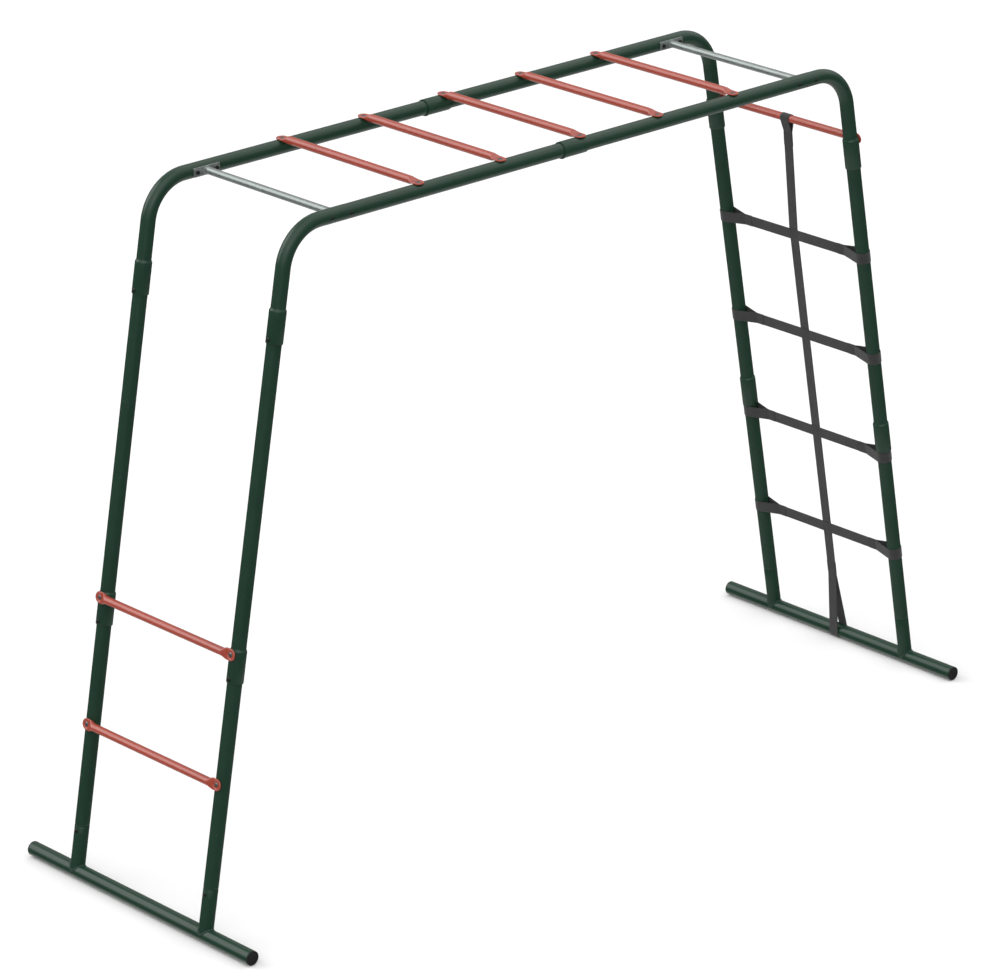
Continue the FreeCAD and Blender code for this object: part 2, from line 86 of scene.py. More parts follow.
# ---------------------------------------------------------------- materials
class Tree:
    """A node material, built node by node."""

    def __init__(self, name):
        self.mat = bpy.data.materials.new(name)
        self.mat.use_nodes = True
        self.nodes = self.mat.node_tree.nodes
        self.links = self.mat.node_tree.links
        self.bsdf = self.nodes["Principled BSDF"]

    def add(self, kind, **values):
        n = self.nodes.new(kind)
        for k, v in values.items():
            setattr(n, k, v)
        return n

    def link(self, a, b):
        self.links.new(a, b)

    def coords(self, scale=(1, 1, 1), source="Object"):
        tc = self.add("ShaderNodeTexCoord")
        mp = self.add("ShaderNodeMapping")
        mp.inputs["Scale"].default_value = scale
        self.link(tc.outputs[source], mp.inputs["Vector"])
        return mp.outputs["Vector"]

    def noise(self, vec, scale, detail=2.0, rough=0.5, distort=0.0):
        n = self.add("ShaderNodeTexNoise")
        n.inputs["Scale"].default_value = scale
        n.inputs["Detail"].default_value = detail
        n.inputs["Roughness"].default_value = rough
        n.inputs["Distortion"].default_value = distort
        self.link(vec, n.inputs["Vector"])
        return n.outputs["Fac"]

    def math(self, op, a, b=None, clamp=False):
        n = self.add("ShaderNodeMath", operation=op, use_clamp=clamp)
        for i, v in enumerate((a, b)):
            if v is None:
                continue
            if isinstance(v, (int, float)):
                n.inputs[i].default_value = v
            else:
                self.link(v, n.inputs[i])
        return n.outputs[0]

    def remap(self, v, a, b, c, d):
        n = self.add("ShaderNodeMapRange")
        n.clamp = True
        for i, x in zip((1, 2, 3, 4), (a, b, c, d)):
            n.inputs[i].default_value = x
        self.link(v, n.inputs[0])
        return n.outputs[0]

    def ramp(self, fac, stops, mode="LINEAR"):
        n = self.add("ShaderNodeValToRGB")
        cr = n.color_ramp
        cr.interpolation = mode
        while len(cr.elements) > 1:
            cr.elements.remove(cr.elements[-1])
        cr.elements[0].position, cr.elements[0].color = stops[0][0], (*stops[0][1], 1)
        for p, c in stops[1:]:
            cr.elements.new(p).color = (*c, 1)
        self.link(fac, n.inputs["Fac"])
        return n.outputs["Color"]

    def mix(self, fac, a, b, blend="MIX"):
        n = self.add("ShaderNodeMix", data_type="RGBA", blend_type=blend)
        if isinstance(fac, (int, float)):
            n.inputs[0].default_value = fac
        else:
            self.link(fac, n.inputs[0])
        for i, v in ((6, a), (7, b)):
            if isinstance(v, tuple):
                n.inputs[i].default_value = (*v, 1)
            else:
                self.link(v, n.inputs[i])
        return n.outputs[2]

    def bump(self, *layers):
        """layers: (height, strength, distance in metres); chained."""
        last = None
        for h, strength, dist in layers:
            n = self.add("ShaderNodeBump")
            n.inputs["Strength"].default_value = strength
            n.inputs["Distance"].default_value = dist
            self.link(h, n.inputs["Height"])
            if last:
                self.link(last, n.inputs["Normal"])
            last = n.outputs["Normal"]
        self.link(last, self.bsdf.inputs["Normal"])


def powder_coat(name, base, dark, pale, rough=(0.34, 0.46), spec=0.5):
    """Oven-baked powder coat: orange peel, faint mottling, dust and a few scuffs."""
    t = Tree(name)
    v = t.coords()
    broad = t.noise(v, 5.0, 3.0, 0.6)
    fine = t.noise(v, 60.0, 4.0, 0.6)
    speck = t.noise(v, 900.0, 1.0, 0.5)
    col = t.ramp(t.remap(broad, 0.3, 0.7, 0, 1), [(0, dark), (0.5, base), (1, base)])
    col = t.mix(t.remap(fine, 0.58, 0.8, 0, 0.35), col, pale)
    col = t.mix(t.remap(speck, 0.62, 0.72, 0, 0.22), col, pale)
    # scuffs: thin streaks wrapped round the tubes
    sc = t.noise(t.coords((14, 14, 120)), 3.0, 6.0, 0.7, 0.4)
    scuff = t.remap(sc, 0.66, 0.74, 0, 0.5)
    col = t.mix(scuff, col, pale)
    t.link(col, t.bsdf.inputs["Base Color"])
    r = t.remap(fine, 0.25, 0.75, rough[0], rough[1])
    r = t.math("ADD", r, t.math("MULTIPLY", scuff, 0.25), clamp=True)
    t.link(r, t.bsdf.inputs["Roughness"])
    t.bsdf.inputs["Specular IOR Level"].default_value = spec
    peel = t.noise(v, 420.0, 2.0, 0.5)
    wave = t.noise(v, 38.0, 1.0, 0.4)
    t.bump((wave, 0.10, 0.004), (peel, 0.16, 0.0008))
    return t.mat


def galvanised(name):
    """Hot-dip zinc: crystal spangle, cloudy patches, streaks along the tube."""
    t = Tree(name)
    v = t.coords()
    cells = t.add("ShaderNodeTexVoronoi", feature="F1")
    cells.inputs["Scale"].default_value = 170.0
    warp = t.add("ShaderNodeVectorMath", operation="ADD")
    wn = t.add("ShaderNodeTexNoise")
    wn.inputs["Scale"].default_value = 90.0
    t.link(v, wn.inputs["Vector"])
    sc = t.add("ShaderNodeVectorMath", operation="SCALE")
    sc.inputs["Scale"].default_value = 0.006
    t.link(wn.outputs["Color"], sc.inputs[0])
    t.link(v, warp.inputs[0])
    t.link(sc.outputs[0], warp.inputs[1])
    t.link(warp.outputs[0], cells.inputs["Vector"])
    grey = t.add("ShaderNodeRGBToBW")
    t.link(cells.outputs["Color"], grey.inputs["Color"])
    cloud = t.noise(v, 14.0, 4.0, 0.6)
    col = t.ramp(grey.outputs["Val"], [(0.0, (0.17, 0.19, 0.185)), (0.5, (0.215, 0.24, 0.23)), (1.0, (0.27, 0.30, 0.29))])
    col = t.mix(t.remap(cloud, 0.35, 0.7, 0, 0.5), col, (0.18, 0.205, 0.195))
    streak = t.noise(t.coords((90, 4, 90)), 2.0, 3.0, 0.6)
    col = t.mix(t.remap(streak, 0.58, 0.75, 0, 0.4), col, (0.32, 0.35, 0.34))
    t.link(col, t.bsdf.inputs["Base Color"])
    t.bsdf.inputs["Metallic"].default_value = 0.75
    t.link(t.remap(grey.outputs["Val"], 0, 1, 0.30, 0.52), t.bsdf.inputs["Roughness"])
    t.bump((cloud, 0.15, 0.002), (grey.outputs["Val"], 0.12, 0.0004))
    return t.mat


def plated(name, base=(0.065, 0.067, 0.068), worn=(0.22, 0.22, 0.22)):
    """Dark plated fastener: slight machining rings, worn brighter on the edges."""
    t = Tree(name)
    v = t.coords()
    n = t.noise(v, 260.0, 4.0, 0.65)
    geo = t.add("ShaderNodeNewGeometry")
    edge = t.remap(geo.outputs["Pointiness"], 0.50, 0.58, 0, 0.7)
    col = t.mix(t.remap(n, 0.35, 0.75, 0, 1), base, tuple(c * 1.8 for c in base))
    col = t.mix(edge, col, worn)
    t.link(col, t.bsdf.inputs["Base Color"])
    t.bsdf.inputs["Metallic"].default_value = 0.85
    t.bsdf.inputs["Specular IOR Level"].default_value = 0.25
    t.link(t.remap(n, 0.3, 0.7, 0.30, 0.5), t.bsdf.inputs["Roughness"])
    t.bump((n, 0.2, 0.0003))
    return t.mat


def moulded(name, base=(0.0055, 0.0055, 0.006)):
    """Black moulded plastic: fine spark texture and a dusty bloom."""
    t = Tree(name)
    v = t.coords()
    spark = t.noise(v, 1100.0, 2.0, 0.6)
    bloom = t.noise(v, 40.0, 5.0, 0.65)
    col = t.mix(t.remap(bloom, 0.45, 0.8, 0, 0.5), base, (0.02, 0.02, 0.02))
    t.link(col, t.bsdf.inputs["Base Color"])
    t.bsdf.inputs["Specular IOR Level"].default_value = 0.22
    t.link(t.remap(bloom, 0.3, 0.7, 0.48, 0.66), t.bsdf.inputs["Roughness"])
    t.bump((spark, 0.25, 0.0002))
    return t.mat


def webbing(name):
    """Woven polyester: UV x runs along the strap, y across it, both in metres."""
    t = Tree(name)
    uv = t.coords(source="UV")
    sep = t.add("ShaderNodeSeparateXYZ")
    t.link(uv, sep.inputs[0])
    along, across = sep.outputs["X"], sep.outputs["Y"]

    def saw(x, period, shift=0.0):
        a = t.math("ADD", t.math("DIVIDE", x, period), shift)
        return t.math("FRACT", a)

    def hump(x):
        """0..1 saw to a round thread profile."""
        s = t.math("SUBTRACT", t.math("MULTIPLY", x, 2.0), 1.0)
        return t.math("SUBTRACT", 1.0, t.math("MULTIPLY", s, s), clamp=True)

    # warp threads run the length; picks cross them, alternate ones shifted half a step
    warp_i = t.math("FLOOR", t.math("DIVIDE", across, 0.00125))
    odd = t.math("MULTIPLY", t.math("FRACT", t.math("MULTIPLY", warp_i, 0.5)), 1.0)
    warp = hump(saw(across, 0.00125))
    a = t.math("ADD", t.math("DIVIDE", along, 0.0032), odd)
    pick = hump(t.math("FRACT", a))
    thread = t.math("MULTIPLY", t.math("POWER", warp, 0.6), t.math("POWER", pick, 0.45))
    # long ribs and the selvedges
    rib = t.math("ABSOLUTE", t.math("SINE", t.math("MULTIPLY", across, math.pi / 0.0058)))
    edge = t.remap(t.math("ABSOLUTE", across), STRAP_W / 2 - 0.0022, STRAP_W / 2, 0, 1)
    wobble = t.noise(t.coords((1, 1, 1)), 25.0, 4.0, 0.6)
    fuzz = t.noise(t.coords((1, 1, 1)), 1500.0, 2.0, 0.6)
    # painted shade: the colour runs from near black in the gaps between threads to lighter on the thread crowns
    col = t.ramp(thread, [(0.0, (0.004, 0.004, 0.0042)), (0.45, (0.013, 0.013, 0.0135)), (1.0, (0.027, 0.027, 0.028))])
    # painted shade in the grooves between the long ribs
    col = t.mix(t.remap(rib, 0.0, 0.5, 0.45, 0.0), col, (0.006, 0.006, 0.0065))
    col = t.mix(t.remap(wobble, 0.35, 0.75, 0.0, 0.35), col, (0.036, 0.036, 0.035))
    col = t.mix(t.math("MULTIPLY", edge, 0.5), col, (0.008, 0.008, 0.0085))
    t.link(col, t.bsdf.inputs["Base Color"])
    t.link(t.remap(fuzz, 0.3, 0.7, 0.62, 0.85), t.bsdf.inputs["Roughness"])
    t.bsdf.inputs["Specular IOR Level"].default_value = 0.3
    t.bsdf.inputs["Sheen Weight"].default_value = 0.12
    t.bsdf.inputs["Sheen Roughness"].default_value = 0.5
    t.bump((rib, 0.35, 0.0006), (thread, 0.7, 0.0005), (fuzz, 0.2, 0.0001))
    return t.mat


def thread_mat(name):
    t = Tree(name)
    v = t.coords()
    n = t.noise(v, 1800.0, 2.0, 0.6)
    t.link(t.mix(n, (0.010, 0.010, 0.011), (0.05, 0.05, 0.052)), t.bsdf.inputs["Base Color"])
    t.link(t.remap(n, 0.3, 0.7, 0.55, 0.8), t.bsdf.inputs["Roughness"])
    t.bump((n, 0.5, 0.0002))
    return t.mat


M_GREEN = powder_coat("green_powder_coat", (0.0095, 0.0290, 0.0172), (0.0075, 0.0250, 0.0145), (0.014, 0.036, 0.023), (0.20, 0.28), 0.24)
M_RED = powder_coat("red_powder_coat", (0.250, 0.041, 0.0245), (0.222, 0.036, 0.0215), (0.29, 0.064, 0.045), (0.17, 0.25), 0.5)
M_ZINC = galvanised("zinc_dip")
M_BOLT = plated("dark_plate")
M_BLACK = plated("black_plate", (0.012, 0.014, 0.013), (0.03, 0.034, 0.032))
M_CAP = moulded("cap_plastic")
M_WEB = webbing("black_webbing")
M_THREAD = thread_mat("sewing_thread")


# ---------------------------------------------------------------- mesh helpers
def mesh_object(name, verts, faces, mat, nodes=(), sharp=35.0, uvs=None, mats=None, face_mats=None):
    me = bpy.data.meshes.new(name)
    me.from_pydata([tuple(v) for v in verts], [], faces)
    me.validate(verbose=False)
    me.materials.append(mat)
    for m in mats or ():
        me.materials.append(m)
    for p in me.polygons:
        p.use_smooth = True
    if face_mats:
        for p, i in zip(me.polygons, face_mats):
            p.material_index = i
    if uvs:
        layer = me.uv_layers.new(name="weave")
        for p in me.polygons:
            for li, vi in zip(p.loop_indices, p.vertices):
                layer.data[li].uv = uvs[p.index][list(p.vertices).index(vi)]
    bm = bmesh.new()
    bm.from_mesh(me)
    bmesh.ops.recalc_face_normals(bm, faces=bm.faces)
    bm.to_mesh(me)
    bm.free()
    me.update()
    me.set_sharp_from_angle(angle=math.radians(sharp))
    ob = bpy.data.objects.new(name, me)
    bpy.context.scene.collection.objects.link(ob)
    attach(ob, "root")
    if nodes:
        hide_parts(*nodes)
    return ob


class Build:
    """Collects rings and lathed profiles into one mesh."""

    def __init__(self):
        self.v, self.f = [], []

    def rings(self, rings, close=False, caps=(False, False)):
        """rings: lists of points, all the same length, or one point for a pole."""
        idx = []
        for r in rings:
            idx.append(list(range(len(self.v), len(self.v) + len(r))))
            self.v.extend(r)
        pairs = list(zip(idx, idx[1:]))
        if close:
            pairs.append((idx[-1], idx[0]))
        for a, b in pairs:
            n = max(len(a), len(b))
            for i in range(n):
                j = (i + 1) % n
                if len(a) == 1:
                    self.f.append((a[0], b[j], b[i]))
                elif len(b) == 1:
                    self.f.append((a[i], a[j], b[0]))
                else:
                    self.f.append((a[i], a[j], b[j], b[i]))
        if caps[0]:
            self.f.append(tuple(reversed(idx[0])))
        if caps[1]:
            self.f.append(tuple(idx[-1]))

    def lathe(self, origin, axis, profile, seg=32, close=False):
        """profile: (distance along axis, radius)."""
        a = axis.normalized()
        x = a.cross(Vector((0, 1, 0)) if abs(a.y) < 0.9 else Vector((1, 0, 0))).normalized()
        y = a.cross(x)
        rings = []
        for h, r in profile:
            c = origin + a * h
            if r < 1e-7:
                rings.append([c])
            else:
                rings.append([c + (x * math.cos(k) + y * math.sin(k)) * r
                              for k in (2 * math.pi * i / seg for i in range(seg))])
        self.rings(rings, close)


def ring(c, x, y, r, seg):
    return [c + (x * math.cos(2 * math.pi * i / seg) + y * math.sin(2 * math.pi * i / seg)) * r for i in range(seg)]


def tube_profile(length, start_sleeve=False, end_sleeve=False, spigot=False, step=None):
    """Outer (s, r) pairs of a frame tube as start and end runs, mouths rounded, with the two mouth radii."""
    e = 0.0004
    out = []
    r0 = SLEEVE_R if start_sleeve else TUBE_R
    out += [(0, r0 - 0.0009), (0.00012, r0 - e * 0.3), (e, r0)]
    if start_sleeve:
        out.append((SLEEVE_L - SHOULDER_L - 0.003, SLEEVE_R))
        for i in range(9):
            t = i / 8
            out.append((SLEEVE_L - SHOULDER_L + SHOULDER_L * t, SLEEVE_R + (TUBE_R - SLEEVE_R) * smooth(t)))
        out.append((SLEEVE_L + 0.003, TUBE_R))
    end = []
    if end_sleeve:
        end.append((length - SLEEVE_L - 0.003, TUBE_R))
        for i in range(9):
            t = i / 8
            end.append((length - SLEEVE_L + SHOULDER_L * t, TUBE_R + (SLEEVE_R - TUBE_R) * smooth(t)))
        end.append((length - SLEEVE_L + SHOULDER_L + 0.003, SLEEVE_R))
    if spigot:
        neck = length - SPIGOT_L - NECK_L
        slope = (TUBE_T + 0.00001) / NECK_L
        end += [(neck - 0.002, TUBE_R), (neck - 0.0005, TUBE_R), (neck + 0.0002, TUBE_R - 0.0002),
                (neck + (TUBE_R - SPIGOT_R) / slope, SPIGOT_R)]
    r1 = SLEEVE_R if end_sleeve else SPIGOT_R if spigot else TUBE_R
    end += [(length - e, r1), (length - 0.00012, r1 - e * 0.3), (length, r1 - 0.0009)]
    return out, end, r0, r1


def follow(path, stations, seg=56):
    """Rings along a path function s -> (point, tangent), with Y as one side axis."""
    rings = []
    for s, r in stations:
        p, t = path(s)
        n = t.cross(Y).normalized()
        side = n.cross(t).normalized()
        rings.append(ring(p, n, side, r, seg))
    return rings


def hollow(b, path, length, start_sleeve=False, end_sleeve=False, spigot=False, extra=()):
    out, end, r0, r1 = tube_profile(length, start_sleeve, end_sleeve, spigot)
    mid = [(s, TUBE_R) for s in extra if out[-1][0] + 0.002 < s < end[0][0] - 0.002]
    outer = out + mid + end
    # the bore, back from the far mouth
    bore = []
    bore.append((length, r1 - TUBE_T))
    if end_sleeve:
        bore += [(length - SLEEVE_L + SHOULDER_L, SLEEVE_R - TUBE_T), (length - SLEEVE_L, TUBE_R - TUBE_T)]
    if spigot:
        bore += [(length - SPIGOT_L + 0.0003, SPIGOT_R - TUBE_T), (length - SPIGOT_L - 0.0056, TUBE_R - TUBE_T)]
    bore += [(s, TUBE_R - TUBE_T) for s, _ in reversed(mid)]
    if start_sleeve:
        bore += [(SLEEVE_L, TUBE_R - TUBE_T), (SLEEVE_L - SHOULDER_L, SLEEVE_R - TUBE_T)]
    bore.append((0, r0 - TUBE_T))
    b.rings(follow(path, outer + bore), close=True)


def straight(p, t):
    t = t.normalized()
    return lambda s: (p + t * s, t)


def grid(a, b, step=0.03):
    n = max(1, int((b - a) / step))
    return [a + (b - a) * i / n for i in range(n + 1)]


# ---------------------------------------------------------------- frame tubes
def corner_tube(sx, sy, name):
    """From the leg mouth up, round the bend and along the rail."""
    y = sy * RAIL_Y
    to_leg = leg_dir(sx)
    l1 = UPPER_JOINT - TANGENT
    arc = BEND_R * TURN
    rail_end = RAIL_JOINT_X if sx > 0 else RAIL_JOINT_X + INSERT_L
    l3 = abs(sx * (CORNER_X - TANGENT) - rail_end)
    b0 = down(sx, sy, TANGENT)
    inward = Vector((-sx, 0, 0))
    # centre of the bend
    centre = b0 - out_dir(sx) * BEND_R

    def path(s):
        if s <= l1:
            return down(sx, sy, UPPER_JOINT - s), -to_leg
        if s <= l1 + arc:
            a = (s - l1) / BEND_R
            o, u = out_dir(sx), -to_leg
            return centre + (o * math.cos(a) + u * math.sin(a)) * BEND_R, (u * math.cos(a) - o * math.sin(a))
        k = s - l1 - arc
        return Vector((sx * (CORNER_X - TANGENT), y, RAIL_Z)) + inward * k, inward

    total = l1 + arc + l3
    extra = grid(SLEEVE_L + 0.008, l1, 0.05) + [l1 + arc * i / 30 for i in range(1, 31)] + grid(l1 + arc, total, 0.06)[1:]
    b = Build()
    hollow(b, path, total, True, sx > 0, extra=extra)
    return mesh_object(name, b.v, b.f, M_GREEN, [name])


def leg_tube(sx, sy, d0, d1, name, sleeve=False, spigot=False):
    b = Build()
    length = d1 - d0
    hollow(b, straight(down(sx, sy, d0), leg_dir(sx)), length, False, sleeve, spigot, extra=grid(0.01, length - 0.01, 0.06))
    return mesh_object(name, b.v, b.f, M_GREEN, [name])


def ground_tube(sx, name):
    b = Build()
    h = GROUND_L / 2
    n = 220
    out = [(0, TUBE_R - 0.0009), (0.00012, TUBE_R - 0.00012), (0.0004, TUBE_R)]
    out += [(s, TUBE_R) for s in grid(0.004, GROUND_L - 0.004, 0.05)]
    out += [(GROUND_L - 0.0004, TUBE_R), (GROUND_L - 0.00012, TUBE_R - 0.00012), (GROUND_L, TUBE_R - 0.0009)]
    bore = [(GROUND_L, TUBE_R - TUBE_T), (0, TUBE_R - TUBE_T)]
    p0 = Vector((sx * GROUND_X, -h, GROUND_Z))
    rings = []
    for s, r in out + bore:
        rings.append(ring(p0 + Y * s, Vector((1, 0, 0)), Vector((0, 0, 1)), r, 56))
    b.rings(rings, close=True)
    o, t = out_dir(sx), leg_dir(sx)
    for sy in (-1, 1):
        c = down(sx, sy, GROUND_AT)
        top = STUB_TOP - GROUND_AT
        seg = 96

        def at(k, r, hh):
            return c + (o * math.cos(k) + Y * math.sin(k)) * r + t * hh

        ks = [2 * math.pi * i / seg for i in range(seg)]
        # stub wall: coped foot, up the outside, over the rounded lip, down the bore
        rows = [[at(k, TUBE_R, -TUBE_R * abs(math.sin(k)) + 0.001) for k in ks]]
        for f in (0.25, 0.5, 0.75):
            rows.append([at(k, TUBE_R, (-TUBE_R * abs(math.sin(k))) * (1 - f) + (top * f)) for k in ks])
        for hh, r in ((top + 0.0004, TUBE_R), (top + 0.00012, TUBE_R - 0.00012), (top, TUBE_R - 0.0009), (top, TUBE_R - TUBE_T),
                      (top + 0.06, TUBE_R - TUBE_T)):
            rows.append([at(k, r, hh) for k in ks])
        b.rings(rows)
        # weld bead along the saddle line, with its ripples
        m, w = 260, 10
        bead = []
        for i in range(m):
            k = 2 * math.pi * i / m
            # the corner at the sides is rounded off
            sn = math.sqrt(math.sin(k) ** 2 + 0.010)
            p = at(k, TUBE_R, -TUBE_R * (sn - 0.04))
            k2 = k + 1e-3
            sn2 = math.sqrt(math.sin(k2) ** 2 + 0.010)
            q = at(k2, TUBE_R, -TUBE_R * (sn2 - 0.04))
            tan = (q - p).normalized()
            away = (o * math.cos(k) + Y * math.sin(k)).normalized()
            away = (away - tan * away.dot(tan)).normalized()
            side = tan.cross(away)
            rip = 0.0030 + 0.00035 * math.sin(i * 2 * math.pi / 5.2) + 0.0002 * math.sin(i * 0.37 + sy)
            bead.append([p + (away * math.cos(a) + side * math.sin(a)) * rip for a in (2 * math.pi * j / w for j in range(w))])
        b.rings(bead, close=True)
    return mesh_object(name, b.v, b.f, M_GREEN, [name], sharp=40)


def end_cap(sx, sy, name):
    b = Build()
    face = Vector((sx * GROUND_X, sy * GROUND_L / 2, GROUND_Z))
    R = CAP_R
    prof = [(-0.022, 0), (-0.022, 0.0160), (-0.0215, 0.0168), (-0.018, 0.0175)]
    for i in range(4):  # sealing ribs on the plug
        s = -0.017 + i * 0.004
        prof += [(s, 0.0178), (s + 0.001, 0.0188), (s + 0.002, 0.0178)]
    prof += [(0, 0.0178), (0, R - 0.0003), (0.0002, R), (0.0022, R)]
    for i in range(1, 7):
        a = math.radians(15 * i)
        prof.append((0.0022 + 0.0014 * math.sin(a), R - 0.0022 * (1 - math.cos(a))))
    prof += [(0.0036, R - 0.006), (0.0036, 0.0118), (0.0034, 0.0112), (0.0031, 0.0108), (0.0031, 0.0022),
             (0.0034, 0.0017), (0.0034, 0)]
    b.lathe(face, Vector((0, sy, 0)), prof, 56)
    return mesh_object(name, b.v, b.f, M_CAP, [name], sharp=50)


for sx, end in ((-1, "ladder"), (1, "net")):
    ground_tube(sx, end + "_ground_tube")
    for sy, side in ((-1, "right"), (1, "left")):
        tag = end + "_" + side
        corner_tube(sx, sy, tag + "_corner_tube")
        leg_tube(sx, sy, UPPER_JOINT - INSERT_L, LOWER_JOINT, tag + "_upper_leg", sleeve=True)
        leg_tube(sx, sy, LOWER_JOINT - INSERT_L, STUB_TOP + SPIGOT_L, tag + "_lower_leg", spigot=True)
        end_cap(sx, sy, tag + "_end_cap")


# ---------------------------------------------------------------- rungs
def rung_rings():
    """Local: Y along, Z away from the seat. The round tube and both flattened necks."""
    seg = 48
    n = 24
    st = [-(PADDLE_AT + (RUNG_BODY - PADDLE_AT) * i / n) for i in range(n + 1)]
    st += [-0.24, -0.2, -0.12, -0.04]
    st += [-s for s in reversed(st)]
    rows = []
    for y in st:
        u = abs(y)
        f = smooth((u - RUNG_BODY) / (PADDLE_AT - RUNG_BODY))
        half = RUNG_R + (PADDLE_W / 2 - RUNG_R) * f
        thick = RUNG_R + (PADDLE_T / 2 - RUNG_R) * f
        zc = RUNG_AXIS + (PADDLE_T / 2 - RUNG_AXIS) * f
        row = []
        for i in range(seg):
            a = 2 * math.pi * (i + 0.5) / seg
            cx = 1 if math.cos(a) > 0 else -1
            row.append(Vector(((half - thick) * cx + thick * math.cos(a), y, zc + thick * math.sin(a))))
        rows.append(row)
    return rows


def paddle_rings(s):
    """Flattened end: rounded pressed edge, dished recess, screw hole. s is its side."""
    seg = 72
    c, h = Vector((0, s * RAIL_Y, 0)), PADDLE_T / 2
    back = RAIL_Y - PADDLE_AT + 0.001

    def reach(k):
        x, y = abs(math.cos(k)), math.sin(k) * s
        if y >= 0:
            return PADDLE_W / 2
        return min(PADDLE_W / 2 / max(x, 1e-6), back / max(-y, 1e-6))

    def outline(inset, z):
        return [c + Vector((math.cos(k) * (reach(k) - inset), math.sin(k) * (reach(k) - inset), z))
                for k in (2 * math.pi * i / seg for i in range(seg))]

    def circle(r, z):
        return [c + Vector((math.cos(k) * r, math.sin(k) * r, z)) for k in (2 * math.pi * i / seg for i in range(seg))]

    rows = [circle(HOLE_R, 0.0), outline(h + 0.0002, 0.0)]
    for a in range(-90, 91, 18):
        rows.append(outline(h * (1 - math.cos(math.radians(a))), h + h * math.sin(math.radians(a))))
    top, deep = PADDLE_T, PADDLE_T - DISH_FLOOR
    rows += [circle(DISH_R + 0.0004, top), circle(DISH_R, top - 0.0001), circle(DISH_R - 0.0004, top - 0.0004)]
    rows += [circle(DISH_R - 0.0017, DISH_FLOOR + 0.0003), circle(DISH_R - 0.0021, DISH_FLOOR + 0.00006),
             circle(DISH_R - 0.0027, DISH_FLOOR), circle(HOLE_R, DISH_FLOOR)]
    return rows


RUNG_ROWS = rung_rings()
PADDLES = [paddle_rings(-1), paddle_rings(1)]


def rung(name, origin, x, z):
    m = Matrix((x, Y, z)).transposed()
    b = Build()
    b.rings([[origin + m @ p for p in row] for row in RUNG_ROWS], caps=(True, True))
    for rows in PADDLES:
        b.rings([[origin + m @ p for p in row] for row in rows], close=True)
    return mesh_object(name, b.v, b.f, M_RED, [name], sharp=50)


def rung_seat(x):
    return SLEEVE_R if RAIL_JOINT_X <= x <= RAIL_JOINT_X + SLEEVE_L - SHOULDER_L else TUBE_R


for i, x in enumerate(RUNG_X):
    rung("overhead_rung_%d" % (i + 1), Vector((x, 0, RAIL_Z + rung_seat(x))), Vector((1, 0, 0)), Vector((0, 0, 1)))
for name, sx, d, off in (("ladder_rung_upper", -1, LADDER_AT[0], SLEEVE_R), ("ladder_rung_lower", -1, LADDER_AT[1], TUBE_R),
                         ("net_top_bar", 1, NET_BAR_AT, SLEEVE_R)):
    z = out_dir(sx)
    rung(name, down(sx, 0, d, off), Y.cross(z), z)


# ---------------------------------------------------------------- braces
def rounded_plate(b, c, w, h, t, corner, ydir, bevel=0.0006, seg=6):
    """Plate in XZ at c, thickness t towards ydir, edges eased."""
    def outline(k):
        pts = []
        for qx, qz, a0 in ((1, 1, 0), (-1, 1, 90), (-1, -1, 180), (1, -1, 270)):
            for i in range(seg + 1):
                a = math.radians(a0 + 90 * i / seg)
                pts.append(Vector((qx * (w / 2 - corner) + (corner - k) * math.cos(a), 0, qz * (h / 2 - corner) + (corner - k) * math.sin(a))))
        return pts
    rows = []
    for yy, k in ((0, bevel), (bevel, 0), (t - bevel, 0), (t - bevel * 0.3, bevel * 0.3), (t, bevel)):
        rows.append([c + p + ydir * yy for p in outline(k)])
    b.rings(rows, caps=(True, True))


def brace(sx, name):
    x = BRACE_X[sx]
    y1 = RAIL_Y - TUBE_R
    b = Build()
    p = Vector((x, -(y1 - PLATE_T), RAIL_Z))
    ln = 2 * (y1 - PLATE_T)
    rows = [ring(p + Y * s, Vector((1, 0, 0)), Vector((0, 0, 1)), BRACE_R, 40) for s in grid(0, ln, 0.04)]
    b.rings(rows, caps=(True, True))
    for sy in (-1, 1):
        c = Vector((x, sy * y1, RAIL_Z))
        rounded_plate(b, c, PLATE_L, PLATE_H, PLATE_T, 0.0025, Vector((0, -sy, 0)))
        m = 150
        bead = []
        for i in range(m):
            k = 2 * math.pi * i / m
            away = Vector((math.cos(k), 0, math.sin(k)))
            rip = 0.0021 + 0.00025 * math.sin(i * 2 * math.pi / 5.0) + 0.00015 * math.sin(i * 0.31)
            o = c + Vector((0, -sy * (PLATE_T + 0.0004), 0)) + away * (BRACE_R + 0.0002)
            bead.append([o + (away * math.cos(a) + Vector((0, -sy, 0)) * math.sin(a)) * rip for a in (2 * math.pi * j / 8 for j in range(8))])
        b.rings(bead, close=True)
    return mesh_object(name, b.v, b.f, M_ZINC, [name], sharp=40)


brace(-1, "ladder_end_brace")
brace(1, "net_end_brace")


# ---------------------------------------------------------------- fasteners
def screw(b, p, axis, shank=0.012, r=0.004, head_r=0.007, head_h=0.0028, socket=0.0023):
    """Low domed head with a drive socket, threaded shank behind it."""
    R = (head_r ** 2 + head_h ** 2) / (2 * head_h)
    prof = [(-shank, 0), (-shank, r - 0.0008), (-shank + 0.0006, r - 0.0001)]
    s = -shank + 0.001
    while s < -0.0035:
        prof += [(s, r), (s + 0.0006, r - 0.0005)]
        s += 0.0012
    prof += [(-0.002, r), (-0.0001, r), (0.0, head_r - 0.0003), (0.0003, head_r)]
    n = 9
    for i in range(1, n + 1):
        q = head_r + (socket - head_r) * i / n
        prof.append((head_h - R + math.sqrt(R * R - q * q), q))
    prof += [(head_h - 0.0004, socket - 0.0002), (head_h - 0.0016, socket - 0.0003), (head_h - 0.0019, 0)]
    b.lathe(p, axis, prof, 30)


